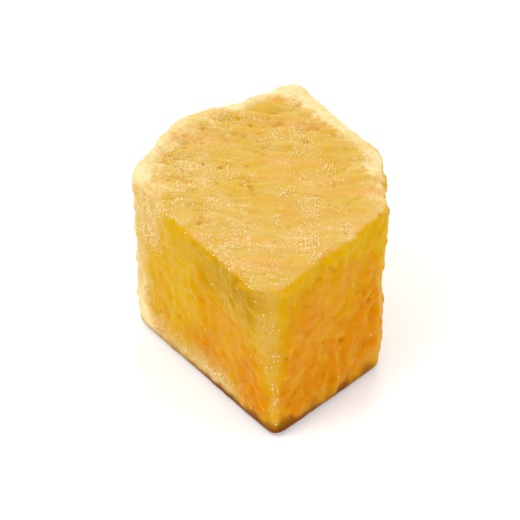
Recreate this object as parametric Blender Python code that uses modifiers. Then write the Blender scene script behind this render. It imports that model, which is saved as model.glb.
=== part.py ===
"""A chunk of dried candied mango, as one solid.

A slab of mango flesh is diced with four straight knife cuts, and its corners are trimmed.
Drying then pulls each face in between its rims, and the whole chunk warps a little. Units are
metres, +Z is up, and the chunk lies on its flat underside with its sharpest corner towards -Y.
The origin is under the middle of its bounding box.
"""

from collections import namedtuple
from math import cos, exp, radians, sin

import bmesh
import bpy
from mathutils import Vector, noise

# Driving dimensions. The chunk is diced from a slab of this thickness, and the slab is wide
# enough for every cut to go right through it.
HEIGHT = 0.0101
SLAB_WIDTH = 0.040

# Each cut of the knife, going round from the front. heading is the way the cut faces, in degrees
# from +X. distance is from the chunk's middle, at half height. lean is how far the top overhangs
# the underside, in degrees. sink is how deep drying pulls the face in at its middle, and a
# negative sink is a swelling.
Cut = namedtuple("Cut", "heading distance lean sink")
CUTS = {
    "front edge": Cut(264, 0.00920, 0.5, 0.00010),
    "front right": Cut(321, 0.00615, 3.0, 0.00015),
    "right corner": Cut(4, 0.00585, 3.5, 0.00004),
    "back right": Cut(33, 0.00695, -2.5, 0.00065),
    "back": Cut(118, 0.00815, 1.5, -0.00055),
    "back left": Cut(154, 0.00745, 1.5, 0),
    "left": Cut(201, 0.00600, 2.7, 0),
    "front left": Cut(213, 0.00540, 7.4, 0.00045),
}
# The top is cut the same way, and its lean is how far it tips towards its heading.
TOP = Cut(250, HEIGHT / 2, 1.0, 0.00055)

# Drying: how near to a cut's plane a point lies to sink with that face, how far in from the rims
# a face has sunk almost fully, and the slow warp of the whole surface.
SINK_SKIN = 0.0013
SINK_REACH = 0.0026
WARP_DEPTH = 0.00024
WARP_LENGTH = 0.0042
WARP_SEED = 5
# The underside stays flat where the chunk lies, so the warp fades in over this height.
BASE_FADE = 0.0012

# The size of the facets while the chunk is shaped, how many times their corners are eased, which
# rounds the rims, and the share of the facets that is kept.
FACET = 0.00016
EASING = 25
FACETS_KEPT = 0.065
# A point this near to the underside counts as lying in it.
LEVEL = FACET / 20

FLESH_COLOUR = "E0A02C"
FLESH_ROUGHNESS = 0.48


def facing(heading, rise):
    """The unit vector that points this way round from +X, and this far up from level, in degrees."""
    around, up = radians(heading), radians(rise)
    return Vector((cos(around) * cos(up), sin(around) * cos(up), sin(up)))


def planes():
    """Every cut and the top, each as (outward unit normal, distance from the middle, sink)."""
    sides = [
        (facing(cut.heading, -cut.lean), cut.distance * cos(radians(cut.lean)), cut.sink)
        for cut in CUTS.values()
    ]
    return sides + [(facing(TOP.heading, 90 - TOP.lean), TOP.distance, TOP.sink)]


def diced_slab(cuts):
    """A slab about its own middle, cut along every plane, with each cut face closed."""
    slab = bmesh.new()
    bmesh.ops.create_cube(slab, size=SLAB_WIDTH)
    # The slab's own underside is where the chunk lies, so no cut is made there.
    bmesh.ops.translate(slab, vec=(0, 0, (SLAB_WIDTH - HEIGHT) / 2), verts=slab.verts)
    for normal, distance, _ in cuts:
        everything = slab.verts[:] + slab.edges[:] + slab.faces[:]
        cut = bmesh.ops.bisect_plane(
            slab, geom=everything, plane_co=normal * distance, plane_no=normal, clear_outer=True
        )
        rim = [piece for piece in cut["geom_cut"] if isinstance(piece, bmesh.types.BMEdge)]
        bmesh.ops.edgeloop_fill(slab, edges=rim)
    bmesh.ops.recalc_face_normals(slab, faces=slab.faces)
    return slab


def modified(mesh, *steps):
    """A new mesh, as modifiers of these (kind, settings) leave the given one."""
    guide = bpy.data.objects.new("guide", mesh)
    bpy.context.scene.collection.objects.link(guide)
    for kind, settings in steps:
        modifier = guide.modifiers.new(kind.title(), kind)
        for name, value in settings.items():
            setattr(modifier, name, value)
    graph = bpy.context.evaluated_depsgraph_get()
    made = bpy.data.meshes.new_from_object(guide.evaluated_get(graph))
    bpy.data.objects.remove(guide)
    bpy.data.meshes.remove(mesh)
    return made


def least(gaps, blend=3):
    """The smallest of the gaps, rounded off where two of them are nearly the same."""
    return sum(max(gap, LEVEL) ** -blend for gap in gaps) ** (-1 / blend)


def shrinkage(point, cuts):
    """How drying moves a point of the surface: each face sinks, and more so away from its rims."""
    inside = [distance - normal.dot(point) for normal, distance, _ in cuts]
    # The underside makes a rim with each cut, but it doesn't sink.
    inside.append(point.z + HEIGHT / 2)
    move = Vector()
    for index, (normal, _, sink) in enumerate(cuts):
        on_face = exp(-((inside[index] / SINK_SKIN) ** 2))
        from_rim = least(inside[:index] + inside[index + 1 :])
        sunk = 1 - exp(-((from_rim / SINK_REACH) ** 2))
        move -= normal * sink * on_face * sunk
    return move


def warp(point):
    """A slow unevenness in all three directions, as fruit takes on when it dries."""
    fade = min(1, max(0, (point.z + HEIGHT / 2) / BASE_FADE))
    return noise.noise_vector(point / WARP_LENGTH) * WARP_DEPTH * fade


def dry(mesh, cuts):
    """Sinks and warps the surface, and keeps the underside level."""
    floor = min(vertex.co.z for vertex in mesh.vertices)
    for vertex in mesh.vertices:
        on_base = vertex.co.z < floor + LEVEL
        vertex.co += shrinkage(vertex.co, cuts) + warp(vertex.co)
        if on_base:
            vertex.co.z = floor


def stand(mesh):
    """Puts the origin under the middle of the bounding box, and the whole underside at zero height."""
    chunk = bmesh.new()
    chunk.from_mesh(mesh)
    low = Vector([min(vertex.co[axis] for vertex in chunk.verts) for axis in range(3)])
    high = Vector([max(vertex.co[axis] for vertex in chunk.verts) for axis in range(3)])
    foot = Vector(((low.x + high.x) / 2, (low.y + high.y) / 2, low.z))
    bmesh.ops.translate(chunk, vec=-foot, verts=chunk.verts)
    for vertex in chunk.verts:
        if vertex.co.z < LEVEL:
            vertex.co.z = 0
    chunk.to_mesh(mesh)
    chunk.free()


def linear(code):
    """The linear RGBA of an sRGB hex code."""
    shares = [int(code[place : place + 2], 16) / 255 for place in (0, 2, 4)]
    return [s / 12.92 if s <= 0.04045 else ((s + 0.055) / 1.055) ** 2.4 for s in shares] + [1]


def flesh_material():
    """Candied mango flesh: an even golden amber with a dull, slightly waxy surface."""
    material = bpy.data.materials.new("Candied mango flesh")
    material.use_nodes = True
    shader = material.node_tree.nodes["Principled BSDF"]
    shader.inputs["Base Color"].default_value = linear(FLESH_COLOUR)
    shader.inputs["Roughness"].default_value = FLESH_ROUGHNESS
    shader.inputs["Metallic"].default_value = 0
    return material


def mango_chunk(collection):
    cuts = planes()
    mesh = bpy.data.meshes.new("diced")
    chunk = diced_slab(cuts)
    chunk.to_mesh(mesh)
    chunk.free()
    even = "REMESH", {"mode": "VOXEL", "voxel_size": FACET}
    ease = "SMOOTH", {"iterations": EASING}
    mesh = modified(mesh, even, ease, even, ease)
    dry(mesh, cuts)
    mesh = modified(mesh, ("DECIMATE", {"ratio": FACETS_KEPT}))
    stand(mesh)
    mesh.name = "mango_chunk"
    mesh.materials.append(flesh_material())
    mesh.shade_smooth()
    collection.objects.link(bpy.data.objects.new("mango_chunk", mesh))


def main():
    noise.seed_set(WARP_SEED)
    for thing in list(bpy.data.objects):
        bpy.data.objects.remove(thing)
    collection = bpy.data.collections.new("Mango chunk")
    bpy.context.scene.collection.children.link(collection)
    mango_chunk(collection)


main()
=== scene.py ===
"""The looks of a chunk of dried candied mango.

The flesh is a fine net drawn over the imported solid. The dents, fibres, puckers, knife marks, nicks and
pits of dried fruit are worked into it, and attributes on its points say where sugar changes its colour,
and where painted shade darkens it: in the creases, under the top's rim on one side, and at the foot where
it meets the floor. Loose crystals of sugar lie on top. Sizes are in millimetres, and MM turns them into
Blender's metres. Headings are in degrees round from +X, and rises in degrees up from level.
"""

from collections import namedtuple
from math import atan2, cos, degrees, radians, sin, tau
from random import Random

import bmesh
import bpy
from mathutils import Euler, Matrix, Vector, noise

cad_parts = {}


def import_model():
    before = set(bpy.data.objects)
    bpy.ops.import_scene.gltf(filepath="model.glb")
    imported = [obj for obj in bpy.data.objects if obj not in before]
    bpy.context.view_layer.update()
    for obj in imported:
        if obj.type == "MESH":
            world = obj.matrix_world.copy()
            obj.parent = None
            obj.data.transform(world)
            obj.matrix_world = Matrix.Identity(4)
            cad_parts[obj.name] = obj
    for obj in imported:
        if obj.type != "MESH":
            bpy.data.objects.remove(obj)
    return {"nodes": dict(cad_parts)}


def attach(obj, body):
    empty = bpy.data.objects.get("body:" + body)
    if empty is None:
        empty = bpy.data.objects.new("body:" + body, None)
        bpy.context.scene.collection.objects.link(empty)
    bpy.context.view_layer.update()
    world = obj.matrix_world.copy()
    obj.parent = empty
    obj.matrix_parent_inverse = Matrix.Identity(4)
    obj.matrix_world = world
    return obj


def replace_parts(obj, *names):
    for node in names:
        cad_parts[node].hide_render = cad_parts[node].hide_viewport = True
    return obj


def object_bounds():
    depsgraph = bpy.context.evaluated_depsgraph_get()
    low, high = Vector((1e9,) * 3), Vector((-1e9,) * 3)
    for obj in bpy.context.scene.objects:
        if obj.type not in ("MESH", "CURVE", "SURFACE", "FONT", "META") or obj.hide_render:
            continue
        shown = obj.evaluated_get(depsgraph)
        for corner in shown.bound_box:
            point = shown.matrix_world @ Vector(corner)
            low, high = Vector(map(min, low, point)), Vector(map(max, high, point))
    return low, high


MM = 0.001

# The camera looks down on the front corner from far off, as the photo does, and shows this much width.
CAMERA_RISE = 34
CAMERA_DISTANCE = 600
CAMERA_NEAREST, CAMERA_FARTHEST = 10, 20000
FRAME_WIDTH = 27.5
SENSOR_WIDTH = 36

# Soft round lamps: the brightest high on the left, one behind and one on the right. The floor is a
# light table, which glows a little, so that shadows on it stay pale.
Lamp = namedtuple("Lamp", "heading rise distance width watts")
LAMPS = {
    "key": Lamp(215, 56, 500, 200, 0.88),
    "back": Lamp(85, 32, 550, 250, 0.80),
    "fill": Lamp(325, 35, 600, 400, 0.45),
}
SKY_STRENGTH = 0.84
FLOOR_WIDTH = 3000
FLOOR_GLOW = 0.3

# The flesh's surface is a net with points this far apart. It is eased a little, to lose the solid's
# facets. A copy is eased so much that the rims stand out from it, by as much as RIM_HEIGHT, and the
# hollows lie below it. The way the copy faces tells which side of the chunk a point belongs to.
NET = 0.102
LOSE_FACETS = 14
FIND_RIMS = 640
RIM_HEIGHT = 0.30
# The solid's triangles are loose. Their corners are joined where they lie this near to each other.
WELD = 0.001
# What is written on the net's points, each mostly from 0 to 1. A rim is 1, a flat 0.5 and a hollow 0.
ATTRIBUTES = "bloom", "crease", "rim", "contact_shade", "under_rim_shade"

# The fibres of the flesh all run one way, and each is this many times longer than it is wide.
FIBRE_HEADING = 172
FIBRE_RISE = 8
FIBRE_RUN = 9

# The relief of the dried surface: how far apart its marks lie, and how high or deep they are.
DENT_GAP, DENT_DEPTH = 2.6, 0.11
# A strand rises softly where the unevenness along the fibres passes these values.
STRAND_GAP, STRAND_HEIGHT = 0.62, 0.09
STRAND_RISE = 0.05, 0.50
# Puckers are swellings with sharp creases between them, drawn out along the fibres. They come in three
# sizes, each half as wide as the one before and PUCKER_FADE times as high.
PUCKER_GAP, PUCKER_HEIGHT, PUCKER_RUN = 1.0, 0.36, 2.2
PUCKER_SIZES, PUCKER_FADE = 3, 0.45
# In patches they are down to PUCKER_LEAST of their height. On the rims, and on the sides that were cut
# across the fibres, they lose up to PUCKER_LOSS of it.
PUCKER_PATCH, PUCKER_PATCH_EDGE = 3.1, (-0.35, 0.35)
PUCKER_LEAST, PUCKER_LOSS = 0.25, 0.5
PUCKER_RIM = 0.6, 0.9
# A crease is painted darker, as shade, up to this share of a pucker's height.
CREASE_TOP = 0.18
# The knife draws upright lines on the sides, this many times longer than they are wide, and nicks what
# stands out as a rim.
KNIFE_GAP, KNIFE_DEPTH, KNIFE_RUN = 0.5, 0.07, 6
NICK_GAP, NICK_DEPTH, NICK_RIM = 0.75, 0.12, (0.6, 1.0)
# A pit reaches this far from its middle, as a share of the gap between two pits.
PIT_GAP, PIT_DEPTH, PIT_REACH = 1.15, 0.12, 0.22
# Where sugar has bloomed the surface is rough.
CRUST_GAP, CRUST_DEPTH = 0.26, 0.04
# The marks swell the chunk a little, so its whole surface is first sunk by this.
SINK = 0.10
# The underside is pressed flat, and the relief fades in over this height. The foot spreads by this.
FLAT_BASE = 0.9
FOOT_SPREAD = 0.16

# Sugar has bloomed on the top and on some of the sides. A side faces from one heading to the next, and
# its sugar ends softly over this many degrees either way.
Bloom = namedtuple("Bloom", "first last softness amount")
BLOOM_SIDES = {
    "back right": Bloom(20, 92, 12, 0.34),
    "back": Bloom(92, 136, 8, 0.50),
    "back left": Bloom(136, 180, 5, 0.45),
    "trimmed left": Bloom(180, 207, 6, 0.92),
    "front edge": Bloom(236, 294, 18, 0.50),
}
BLOOM_TOP = 0.72
# The surface begins to be a side where it faces this level, and is all side at the second value. The
# same goes for the top, and how upright it faces.
SIDE_LEVEL = 0.30, 0.65
TOP_UPRIGHT = 0.45, 0.92
# The amount drifts from place to place, by up to about half of this, and never passes BLOOM_MOST.
BLOOM_PATCH, BLOOM_DRIFT = 2.6, 0.18
BLOOM_MOST = 1.5

# Sugar also gathers on the rims, and the front gives way to the back over this run along Y.
RIM_BACK = -3.5, 3.0
# Of each pair the first is for the front and the second for the back. RIM_BLOOM is the amount, and
# RIM_LEAST the share of it that a rim has however it faces. RIM_UP_SHARE more comes with looking up,
# from RIM_UP_FROM to RIM_UP_FULLY.
RIM_BLOOM = 0.08, 1.15
RIM_LEAST = 0.25, 0.40
RIM_UP_SHARE = 0.6
RIM_UP_FROM = 0.3, -0.1
RIM_UP_FULLY = 0.8, 0.5
# What counts as a rim begins at the first value and is all rim at the second. Along a rim the amount
# changes between these shares, in patches.
RIM_EDGE = 0.48, 1.0
RIM_PATCH, RIM_PATCH_EDGE = 2.6, (-0.25, 0.25)
RIM_PATCHES = 0.45, 1.20
# The edges of the sugar and of the painted contact shade are wavy, ragged and frayed: over what
# distance, and how much.
WAVY_GAP, WAVY = 0.6, 0.12
RAGGED_GAP, RAGGED = 0.9, 0.20
FRAYED_GAP, FRAYED = 0.3, 0.15
# A point's own normal counts this much in how far it looks up, and its side's normal the rest.
OWN_TILT = 0.55

# Along the foot of one side, up to this height, lies a drift of sugar. It ends short of the front, and
# thins out as the surface turns away from that side.
FOOT_SIDE, FOOT_TURN = 213, 4
FOOT_HEIGHTS = 0.4, 3.4
FOOT_ENDS = -8.6, -5.5

# Painted shade lies under the top's rim on one side, darker and greener. It begins at this height and is
# full at the next. It is weak at the back and strong at the front, and changes over this run along Y.
UNDER_RIM_SHADE_SIDE, UNDER_RIM_SHADE_TURN = 224, 3
UNDER_RIM_SHADE_HEIGHTS = 5.5, 8.5
UNDER_RIM_SHADE_RUN = -8.5, -3.0
UNDER_RIM_SHADE_SHARES = 0.10, 0.75

# Painted contact shade darkens the rim of the foot brown, where it meets the floor. It reaches the first
# height far from the front corner and the second near it, its top edge ragged by the share that comes
# next. From the corner it thins out over the run after that, down to the least share of its strength. It
# fades between the last shares of its height.
CORNER = Vector((0.6, -9.6, 0))
CONTACT_SHADE_HEIGHTS = 0.70, 1.15
CONTACT_SHADE_RAGGED = 0.35
CONTACT_SHADE_RUN = 5, 11
CONTACT_SHADE_LEAST = 0.6
CONTACT_SHADE_RIM = 0.58, 0.82
CONTACT_SHADE_FADE = 0.3, 1.1

# Loose sugar: how many crystals, the smallest and the largest, their least thickness and how deep they
# sit, both as a share of their size. They lie in patches, and a few stray on to bare flesh.
GRAINS = 7000
GRAIN_SIZES = 0.03, 0.09
GRAIN_THINNEST = 0.6
GRAIN_SINK = 0.3
GRAIN_PATCH, GRAIN_PATCH_EDGE = 1.3, (-0.4, 0.5)
GRAIN_STRAYS = 0.05
GRAIN_SEED = 11

# The colours of the flesh: yellow or orange as it ripens, and paler on the fibres. The tints are painted
# shade, darker under the top's rim on one side and in the creases and pits.
YELLOW_FLESH, ORANGE_FLESH = "D0A200", "D28400"
UNDER_RIM_SHADE_TINT, CREASE_SHADE = "CCC0A0", "E2AC78"
FIBRE_COLOUR = "D8A81C"
# Sugar on the flesh is straw or peach in bands along the fibres, and cream where it is thick.
STRAW, PEACH, CREAM = "D3AF5F", "D9A860", "F5DCA6"
# The painted contact shade at the foot is this brown.
CONTACT_SHADE_BROWN = "763C08"
CRYSTAL = "F6E2A8"
REFLECTION_TINT = "FFB84C"

# The flesh turns from yellow to orange this way, over this run, unevenly in patches, and is all orange
# at RIPE_FULLY. Light comes through the rims, which makes them yellower by RIM_LIGHT.
RIPER = Vector((0.45, -0.52, -0.72))
RIPE_RUN, RIPE_PATCH = 15, 3.4
RIPE_FULLY = 0.75
RIM_LIGHT = 1.3

# A fibre shows where its noise passes these values, and covers no more than this of the flesh.
FIBRE_EDGE, FIBRE_MOST = (0.48, 0.72), 0.5

# Sugar lies in patches this wide, which are this different. A real grain of frosting is under 0.1 mm,
# and is drawn a little coarser, so that it shows.
FROST_PATCH, FROST_PATCHINESS = 1.1, 0.8
FROST_GRAIN = 0.13
# A band of it turns from straw to peach where its noise passes these values.
BAND_WIDTH, BAND_EDGE = 1.5, (0.46, 0.62)
# Between these amounts of sugar the flesh frosts over, and between these it crusts. Even thick sugar
# covers no more than COVER_MOST of its colour. A crease takes this much of the sugar away.
FROSTED = 0.66, 1.50
CRUSTED = 1.20, 2.10
COVER_MOST = 0.95
CREASE_BARES = 0.35
# The skin's fine wrinkles.
WRINKLE_GAP, WRINKLE_DEPTH, WRINKLE_STRENGTH = 0.9, 0.06, 0.8
# The bare and then the frosted flesh: how rough it is, and how much of the light sinks in.
ROUGHNESS = 0.34, 0.85
CLEARNESS = 0.80, 0.20
# Red light travels this far through the flesh, and red, green and blue these shares of it.
LIGHT_REACH = 0.85
LIGHT_SHARES = 1.0, 0.42, 0.10

# A Mix node's sockets for colours, which share their names with its other sockets.
FACTOR, COLOUR_A, COLOUR_B, MIXED = 0, 6, 7, 2


def facing(heading, rise):
    """The unit vector with this heading and rise."""
    around, up = radians(heading), radians(rise)
    return Vector((cos(around) * cos(up), sin(around) * cos(up), sin(up)))


FIBRE = facing(FIBRE_HEADING, FIBRE_RISE)


def smoothstep(low, high, value):
    """0 up to low, 1 from high on, and a soft rise between them."""
    share = min(1, max(0, (value - low) / (high - low)))
    return share * share * (3 - 2 * share)


def between(start, end, share):
    """The value that lies this share of the way from start to end."""
    return start + (end - start) * share


def uneven(point, gap, shift=(0, 0, 0)):
    """A smooth unevenness, mostly from -0.5 to 0.5, with swellings this far apart. shift gives another."""
    return noise.noise(point / gap + Vector(shift))


def on_side(normal, heading, turn):
    """How squarely a place faces this heading, from 0 to 1. The larger turn is, the faster it falls off."""
    return max(0, normal.dot(facing(heading, 0))) ** turn


def modified(mesh, *steps):
    """A new mesh, as modifiers of these (kind, settings) leave the given one."""
    guide = bpy.data.objects.new("guide", mesh)
    bpy.context.scene.collection.objects.link(guide)
    for kind, settings in steps:
        modifier = guide.modifiers.new(kind.title(), kind)
        for name, value in settings.items():
            setattr(modifier, name, value)
    graph = bpy.context.evaluated_depsgraph_get()
    made = bpy.data.meshes.new_from_object(guide.evaluated_get(graph))
    bpy.data.objects.remove(guide)
    bpy.data.meshes.remove(mesh)
    return made


def fine_net(solid):
    """An even net over the solid, with its facets eased away."""
    shape = bmesh.new()
    shape.from_mesh(solid.data)
    bmesh.ops.remove_doubles(shape, verts=shape.verts, dist=WELD * MM)
    merged = bpy.data.meshes.new("merged")
    shape.to_mesh(merged)
    shape.free()
    net = "REMESH", {"mode": "VOXEL", "voxel_size": NET * MM}
    return modified(merged, net, ("SMOOTH", {"iterations": LOSE_FACETS}))


def rims_and_sides(mesh):
    """For each point, 1 on a rim, 0.5 on a flat and 0 in a hollow, and the way its side faces."""
    eased = modified(mesh.copy(), ("SMOOTH", {"iterations": FIND_RIMS}))
    found = []
    for vertex, soft in zip(mesh.vertices, eased.vertices):
        height = vertex.normal.dot(vertex.co - soft.co) / MM
        found.append((0.5 + 0.5 * min(1, max(-1, height / RIM_HEIGHT)), soft.normal.copy()))
    bpy.data.meshes.remove(eased)
    return found


def bloom_on_faces(side, tilt):
    """The sugar on the sides and the top, which thins out over the rim between them."""
    heading = degrees(atan2(side.y, side.x)) % 360
    amount = sum(
        share
        * smoothstep(first - soft, first + soft, heading)
        * (1 - smoothstep(last - soft, last + soft, heading))
        for first, last, soft, share in BLOOM_SIDES.values()
    )
    amount *= smoothstep(*SIDE_LEVEL, side.xy.length)
    return between(amount, BLOOM_TOP, smoothstep(*TOP_UPRIGHT, tilt))


def bloom_on_rims(point, rim, tilt):
    """The sugar on the rims, with a ragged edge, thicker in patches and where they look up."""
    back = smoothstep(*RIM_BACK, point.y)
    looks_up = smoothstep(between(*RIM_UP_FROM, back), between(*RIM_UP_FULLY, back), tilt)
    share = between(*RIM_LEAST, back) + RIM_UP_SHARE * looks_up
    edge = RAGGED * uneven(point, RAGGED_GAP, (4, 4, 0)) + FRAYED * uneven(point, FRAYED_GAP)
    patches = smoothstep(*RIM_PATCH_EDGE, uneven(point, RIM_PATCH, (1, 8, 4)))
    amount = between(*RIM_BLOOM, back) * between(*RIM_PATCHES, patches)
    return amount * smoothstep(*RIM_EDGE, rim + edge) * share


def bloom_of(point, normal, side, rim):
    """How much sugar shows at a point, from 0 up."""
    tilt = between(side.z, normal.z, OWN_TILT) + WAVY * uneven(point, WAVY_GAP)
    foot = on_side(normal, FOOT_SIDE, FOOT_TURN) * (1 - smoothstep(*FOOT_HEIGHTS, point.z))
    foot *= smoothstep(*FOOT_ENDS, point.y)
    drift = BLOOM_DRIFT * uneven(point, BLOOM_PATCH, (7, 1, 3))
    amount = bloom_on_faces(side, tilt) + bloom_on_rims(point, rim, tilt) + foot + drift
    return min(BLOOM_MOST, max(0, amount))


def under_rim_shade_of(point, normal):
    """How strongly the painted shade under the top's rim, darker and greener, covers a point, from 0 to 1.
    """
    under = smoothstep(*UNDER_RIM_SHADE_HEIGHTS, point.z)
    front = 1 - smoothstep(*UNDER_RIM_SHADE_RUN, point.y)
    return on_side(normal, UNDER_RIM_SHADE_SIDE, UNDER_RIM_SHADE_TURN) * under * between(*UNDER_RIM_SHADE_SHARES, front)


def contact_shade_of(point, rim):
    """How strongly the painted contact shade browns the flesh at a point, from 0 to 1. It has a ragged
    upper edge.
    """
    near = 1 - smoothstep(*CONTACT_SHADE_RUN, (point - CORNER).length)
    edge = uneven(point, RAGGED_GAP, (6, 0, 2))
    reach = between(*CONTACT_SHADE_HEIGHTS, near) * (1 + CONTACT_SHADE_RAGGED * edge)
    low = 1 - smoothstep(*CONTACT_SHADE_FADE, point.z / reach)
    return between(CONTACT_SHADE_LEAST, 1, near) * smoothstep(*CONTACT_SHADE_RIM, rim + RAGGED * edge) * low


def puckers(point):
    """The height of the puckers, from 0 in a crease up."""
    spots = [point * 2**size + Vector((3, size, 9)) for size in range(PUCKER_SIZES)]
    return sum(abs(noise.noise(spot)) * PUCKER_FADE**size for size, spot in enumerate(spots))


def relief(point, normal, rim, bloom):
    """How far the surface stands out at a point, in millimetres, and how deep in a crease or pit it is."""
    along = FIBRE * FIBRE.dot(point)
    strand = smoothstep(*STRAND_RISE, uneven(point - along * (1 - 1 / FIBRE_RUN), STRAND_GAP))
    swelling = puckers((point - along * (1 - 1 / PUCKER_RUN)) / PUCKER_GAP)
    patches = smoothstep(*PUCKER_PATCH_EDGE, uneven(point, PUCKER_PATCH, (0, 5, 0)))
    strength = between(PUCKER_LEAST, 1, patches)
    strength *= 1 - PUCKER_LOSS * smoothstep(*PUCKER_RIM, rim)
    strength *= 1 - PUCKER_LOSS * abs(normal.dot(FIBRE))
    pit = max(0, 1 - noise.voronoi(point / PIT_GAP)[0][0] / PIT_REACH) ** 2
    upright = Vector((point.x, point.y, point.z / KNIFE_RUN))
    drawn = (1 - abs(normal.z)) * uneven(upright, KNIFE_GAP)
    nick = smoothstep(*NICK_RIM, rim) * min(0, uneven(point, NICK_GAP, (2, 2, 2)))
    crust = min(1, bloom) * uneven(point, CRUST_GAP)
    height = (
        DENT_DEPTH * uneven(point, DENT_GAP)
        - SINK
        + PUCKER_HEIGHT * strength * swelling
        - PIT_DEPTH * pit
        + STRAND_HEIGHT * strand
        + KNIFE_DEPTH * drawn
        + NICK_DEPTH * nick
        + CRUST_DEPTH * crust
    )
    return height, max(pit, strength * max(0, 1 - swelling / CREASE_TOP))


def flesh(solid):
    """The chunk itself, with its relief in the mesh, and its sugar, creases, painted contact shade and
    painted shade under the top's rim in attributes.
    """
    mesh = fine_net(solid)
    moved = []
    marks = []
    for vertex, (rim, side) in zip(mesh.vertices, rims_and_sides(mesh)):
        point = vertex.co / MM
        normal = vertex.normal.copy()
        bloom = bloom_of(point, normal, side, rim)
        height, crease = relief(point, normal, rim, bloom)
        fade = smoothstep(0, FLAT_BASE, point.z)
        spread = Vector((normal.x, normal.y, 0)) * FOOT_SPREAD * (1 - fade)
        moved.append(vertex.co + (normal * height * fade + spread) * MM)
        marks.append((bloom, crease * fade, rim, contact_shade_of(point, rim), under_rim_shade_of(point, normal)))
    floor = min(place.z for place in moved)
    for vertex, place in zip(mesh.vertices, moved):
        vertex.co = place
        vertex.co.z -= floor
    for name, values in zip(ATTRIBUTES, zip(*marks)):
        mesh.attributes.new(name, "FLOAT", "POINT").data.foreach_set("value", values)
    mesh.shade_smooth()
    mesh.name = "mango_flesh"
    return mesh


def sugar(mesh):
    """Loose crystals on the flesh, thickest where it has bloomed."""
    random = Random(GRAIN_SEED)
    blooms = [0] * len(mesh.vertices)
    mesh.attributes["bloom"].data.foreach_get("value", blooms)
    faces = [face for face in mesh.polygons if face.center.z > FLAT_BASE * MM]
    weights = [
        face.area
        * (GRAIN_STRAYS + blooms[face.vertices[0]]) ** 2
        * smoothstep(*GRAIN_PATCH_EDGE, uneven(face.center / MM, GRAIN_PATCH)) ** 2
        for face in faces
    ]
    crystal = bpy.data.meshes.new("crystal")
    grains = bmesh.new()
    bmesh.ops.create_cube(grains, size=1)
    grains.to_mesh(crystal)
    grains.clear()
    for face in random.choices(faces, weights, k=GRAINS):
        size = random.triangular(*GRAIN_SIZES, GRAIN_SIZES[0]) * MM
        turn = Euler([random.uniform(0, tau) for _ in range(3)]).to_matrix().to_4x4()
        shape = Matrix.Diagonal([size * random.uniform(GRAIN_THINNEST, 1) for _ in range(3)] + [1])
        first, second, third, fourth = [mesh.vertices[corner].co for corner in face.vertices]
        share = random.random()
        spot = first.lerp(second, share).lerp(fourth.lerp(third, share), random.random())
        stand = face.normal * size * (0.5 - GRAIN_SINK)
        copy = crystal.copy()
        copy.transform(Matrix.Translation(spot + stand) @ turn @ shape)
        grains.from_mesh(copy)
        bpy.data.meshes.remove(copy)
    bpy.data.meshes.remove(crystal)
    made = bpy.data.meshes.new("sugar_grains")
    grains.to_mesh(made)
    grains.free()
    return made


def linear(code):
    """The linear RGBA of an sRGB hex code."""
    shares = [int(code[place : place + 2], 16) / 255 for place in (0, 2, 4)]
    return [s / 12.92 if s <= 0.04045 else ((s + 0.055) / 1.055) ** 2.4 for s in shares] + [1]


def add(tree, kind, settings, links=None, gives=0):
    """Adds a node and returns one of its outputs.

    settings are its properties or its sockets' values, links are its sockets' sources, and gives is the
    output's name or number.
    """
    made = tree.nodes.new(kind)
    for name, value in settings.items():
        if isinstance(name, str) and hasattr(made, name):
            setattr(made, name, value)
        else:
            made.inputs[name].default_value = value
    for name, source in (links or {}).items():
        tree.links.new(source, made.inputs[name])
    return made.outputs[gives]


def material(name):
    """A new material, with its node tree and its shader."""
    made = bpy.data.materials.new(name)
    made.use_nodes = True
    return made, made.node_tree, made.node_tree.nodes["Principled BSDF"]


def ripeness_and_rim_glow(tree, mm, rim):
    """How far the flesh has turned from yellow to orange, from 0 to 1, less on the rims, where painted
    light yellows them.
    """
    run = add(
        tree, "ShaderNodeVectorMath", {"operation": "DOT_PRODUCT", 1: RIPER / RIPE_RUN}, {0: mm}, "Value"
    )
    patches = add(tree, "ShaderNodeTexNoise", {"Scale": 1 / RIPE_PATCH, "Detail": 3}, {"Vector": mm})
    # Painted light: the rims are made yellower, as by light coming through them.
    rim_glow = add(
        tree,
        "ShaderNodeMath",
        {"operation": "MULTIPLY_ADD", 1: -RIM_LIGHT, 2: RIM_LIGHT / 2},
        {0: rim},
    )
    patches_and_glow = add(tree, "ShaderNodeMath", {"operation": "ADD"}, {0: patches, 1: rim_glow})
    ripe_and_glow = add(tree, "ShaderNodeMath", {"operation": "ADD"}, {0: run, 1: patches_and_glow})
    return add(
        tree,
        "ShaderNodeMapRange",
        {"interpolation_type": "SMOOTHSTEP", "From Min": 0, "From Max": RIPE_FULLY},
        {"Value": ripe_and_glow},
    )


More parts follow.
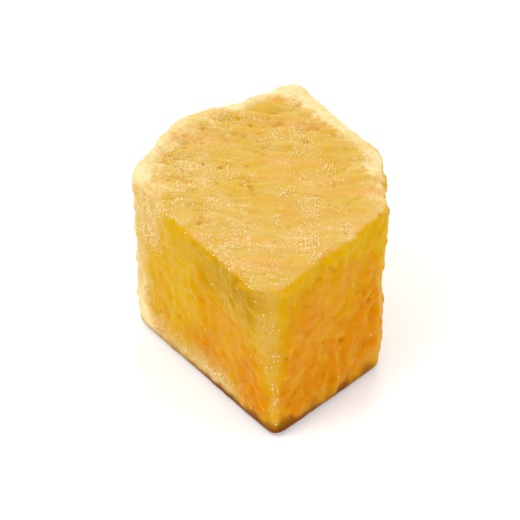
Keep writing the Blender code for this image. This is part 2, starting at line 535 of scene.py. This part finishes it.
def bare_flesh(tree, mm, along, rim, under_rim_shade, crease):
    """The colour of the flesh without its sugar, with painted shade under the top's rim and in the creases.
    """
    colour = add(
        tree,
        "ShaderNodeMix",
        {"data_type": "RGBA", COLOUR_A: linear(YELLOW_FLESH), COLOUR_B: linear(ORANGE_FLESH)},
        {FACTOR: ripeness_and_rim_glow(tree, mm, rim)},
        MIXED,
    )
    fibres = add(tree, "ShaderNodeTexNoise", {"Scale": 1 / STRAND_GAP, "Detail": 3}, {"Vector": along})
    low, high = FIBRE_EDGE
    fibre = add(
        tree,
        "ShaderNodeMapRange",
        {"interpolation_type": "SMOOTHSTEP", "From Min": low, "From Max": high, "To Max": FIBRE_MOST},
        {"Value": fibres},
    )
    # Painted shade darkens the flesh under the top's rim and in the creases and pits. The fibres are paler.
    for share, blend, code in (
        (under_rim_shade, "MULTIPLY", UNDER_RIM_SHADE_TINT),
        (fibre, "MIX", FIBRE_COLOUR),
        (crease, "MULTIPLY", CREASE_SHADE),
    ):
        colour = add(
            tree,
            "ShaderNodeMix",
            {"data_type": "RGBA", "blend_type": blend, COLOUR_B: linear(code)},
            {FACTOR: share, COLOUR_A: colour},
            MIXED,
        )
    return colour


def sugar_cover(tree, mm, bloom, crease, grain):
    """How much sugar lies on the flesh, in patches and grains, and less in the creases."""
    patches = add(
        tree,
        "ShaderNodeTexNoise",
        {"Scale": 1 / FROST_PATCH, "Detail": 4, "Roughness": 0.6},
        {"Vector": mm},
    )
    patchy = add(
        tree,
        "ShaderNodeMath",
        {"operation": "MULTIPLY_ADD", 1: FROST_PATCHINESS, 2: -FROST_PATCHINESS / 2},
        {0: patches},
    )
    speckled = add(tree, "ShaderNodeMath", {"operation": "ADD"}, {0: grain, 1: patchy})
    lying = add(
        tree, "ShaderNodeMath", {"operation": "MULTIPLY_ADD", 1: -CREASE_BARES}, {0: crease, 2: bloom}
    )
    return add(tree, "ShaderNodeMath", {"operation": "ADD"}, {0: speckled, 1: lying})


def flesh_material():
    """Candied mango flesh, cut and air-dried: clear golden amber, and dull straw under its sugar.

    Light sinks into the bare flesh, so its rims glow, and that glow is also painted into their colour. On
    the sugar it scatters at once.
    """
    made, tree, shader = material("Candied mango flesh")
    place = add(tree, "ShaderNodeTexCoord", {}, gives="Object")
    mm = add(tree, "ShaderNodeMapping", {"Scale": (1 / MM, 1 / MM, 1 / MM)}, {"Vector": place})
    turn = 0, -radians(FIBRE_RISE), radians(FIBRE_HEADING)
    along, folded = [
        add(
            tree,
            "ShaderNodeMapping",
            {"vector_type": "TEXTURE", "Rotation": turn, "Scale": (run * MM, MM, MM)},
            {"Vector": place},
        )
        for run in (FIBRE_RUN, PUCKER_RUN)
    ]
    bloom, crease, rim, contact_shade, under_rim_shade = [
        add(tree, "ShaderNodeAttribute", {"attribute_name": name}, gives="Fac") for name in ATTRIBUTES
    ]

    grain = add(
        tree,
        "ShaderNodeTexNoise",
        {"Scale": 1 / FROST_GRAIN, "Detail": 3, "Roughness": 0.65},
        {"Vector": mm},
    )
    cover = sugar_cover(tree, mm, bloom, crease, grain)
    frosted, crusted = [
        add(
            tree,
            "ShaderNodeMapRange",
            {"interpolation_type": "SMOOTHSTEP", "From Min": low, "From Max": high, "To Max": COVER_MOST},
            {"Value": cover},
        )
        for low, high in (FROSTED, CRUSTED)
    ]
    bands = add(tree, "ShaderNodeTexNoise", {"Scale": 1 / BAND_WIDTH, "Detail": 2}, {"Vector": along})
    low, high = BAND_EDGE
    band = add(
        tree,
        "ShaderNodeMapRange",
        {"interpolation_type": "SMOOTHSTEP", "From Min": low, "From Max": high},
        {"Value": bands},
    )
    frosting = add(
        tree,
        "ShaderNodeMix",
        {"data_type": "RGBA", COLOUR_A: linear(STRAW), COLOUR_B: linear(PEACH)},
        {FACTOR: band},
        MIXED,
    )
    colour = add(
        tree,
        "ShaderNodeMix",
        {"data_type": "RGBA"},
        {FACTOR: frosted, COLOUR_A: bare_flesh(tree, mm, along, rim, under_rim_shade, crease), COLOUR_B: frosting},
        MIXED,
    )
    # Thick sugar crusts cream, and the painted contact shade browns the foot.
    for share, code in ((crusted, CREAM), (contact_shade, CONTACT_SHADE_BROWN)):
        colour = add(
            tree,
            "ShaderNodeMix",
            {"data_type": "RGBA", COLOUR_B: linear(code)},
            {FACTOR: share, COLOUR_A: colour},
            MIXED,
        )

    rough, cloudy = [
        add(tree, "ShaderNodeMapRange", {"To Min": bare, "To Max": sugared}, {"Value": frosted})
        for bare, sugared in (ROUGHNESS, CLEARNESS)
    ]
    # The skin shrinks into fine wrinkles between ridges, and the grains of sugar stand on it.
    wrinkles = add(
        tree,
        "ShaderNodeTexNoise",
        {"noise_type": "RIDGED_MULTIFRACTAL", "Scale": 1 / WRINKLE_GAP, "Detail": 4, "Roughness": 0.6},
        {"Vector": folded},
    )
    skin = add(tree, "ShaderNodeMath", {"operation": "SUBTRACT"}, {0: grain, 1: wrinkles})
    bump = add(
        tree,
        "ShaderNodeBump",
        {"Strength": WRINKLE_STRENGTH, "Distance": WRINKLE_DEPTH * MM},
        {"Height": skin},
    )

    # The index is that of thick sugar syrup. The dried skin is dull, so it reflects little of the sky,
    # and what it does reflect takes on the colour of the flesh.
    shader.inputs["IOR"].default_value = 1.45
    shader.inputs["Specular IOR Level"].default_value = 0.06
    shader.inputs["Specular Tint"].default_value = linear(REFLECTION_TINT)
    shader.inputs["Subsurface Radius"].default_value = LIGHT_SHARES
    shader.inputs["Subsurface Scale"].default_value = LIGHT_REACH * MM
    for name, source in {
        "Base Color": colour,
        "Roughness": rough,
        "Subsurface Weight": cloudy,
        "Normal": bump,
    }.items():
        tree.links.new(source, shader.inputs[name])
    return made


def crystal_material():
    """Crystal sugar: clear and hard-edged, so small pieces look almost white and catch the light."""
    made, _, shader = material("Crystal sugar")
    shader.inputs["Base Color"].default_value = linear(CRYSTAL)
    shader.inputs["Roughness"].default_value = 0.25
    shader.inputs["IOR"].default_value = 1.54
    return made


def table_material():
    """White opal acrylic, lit from below: matt, with hardly any reflection, and pale in the shade."""
    made, _, shader = material("White light table")
    shader.inputs["Base Color"].default_value = linear("E2E2E2")
    shader.inputs["Roughness"].default_value = 0.9
    shader.inputs["Emission Color"].default_value = linear("FFFFFF")
    shader.inputs["Emission Strength"].default_value = FLOOR_GLOW
    shader.inputs["Specular IOR Level"].default_value = 0.1
    return made


def piece(mesh, made_of):
    """Puts a finished mesh on the chunk's one body."""
    mesh.materials.clear()
    mesh.materials.append(made_of)
    made = bpy.data.objects.new(mesh.name, mesh)
    bpy.context.scene.collection.objects.link(made)
    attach(made, "root")
    return made


def studio():
    """A white floor, a white sky and the lamps."""
    shape = bmesh.new()
    bmesh.ops.create_grid(shape, x_segments=1, y_segments=1, size=FLOOR_WIDTH * MM / 2)
    ground = bpy.data.meshes.new("floor")
    shape.to_mesh(ground)
    shape.free()
    ground.materials.append(table_material())
    floor = bpy.data.objects.new("floor", ground)
    bpy.context.scene.collection.objects.link(floor)

    world = bpy.data.worlds.new("White studio")
    world.use_nodes = True
    sky = world.node_tree.nodes["Background"]
    sky.inputs["Color"].default_value = linear("FFFFFF")
    sky.inputs["Strength"].default_value = SKY_STRENGTH
    bpy.context.scene.world = world

    for name, lamp in LAMPS.items():
        light = bpy.data.lights.new(name, "AREA")
        light.shape = "DISK"
        light.size = lamp.width * MM
        light.energy = lamp.watts
        back = facing(lamp.heading, lamp.rise)
        holder = bpy.data.objects.new(name, light)
        holder.location = back * lamp.distance * MM
        holder.rotation_euler = back.to_track_quat("Z", "Y").to_euler()
        bpy.context.scene.collection.objects.link(holder)


def camera(low, high):
    """A long lens looking down at the front corner, as the photo does."""
    back = facing(270, CAMERA_RISE)
    lens = bpy.data.cameras.new("camera")
    lens.sensor_width = SENSOR_WIDTH
    lens.lens = SENSOR_WIDTH * CAMERA_DISTANCE / FRAME_WIDTH
    lens.clip_start = CAMERA_NEAREST * MM
    lens.clip_end = CAMERA_FARTHEST * MM
    holder = bpy.data.objects.new("camera", lens)
    holder.location = (low + high) / 2 + back * CAMERA_DISTANCE * MM
    holder.rotation_euler = back.to_track_quat("Z", "Y").to_euler()
    bpy.context.scene.collection.objects.link(holder)
    bpy.context.scene.camera = holder


def main():
    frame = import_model()
    cad_low, cad_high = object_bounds()
    camera(cad_low, cad_high)
    studio()
    body = flesh(frame["nodes"]["mango_chunk"])
    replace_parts(piece(body, flesh_material()), "mango_chunk")
    piece(sugar(body), crystal_material())
    bpy.context.scene.view_settings.view_transform = "Standard"


main()
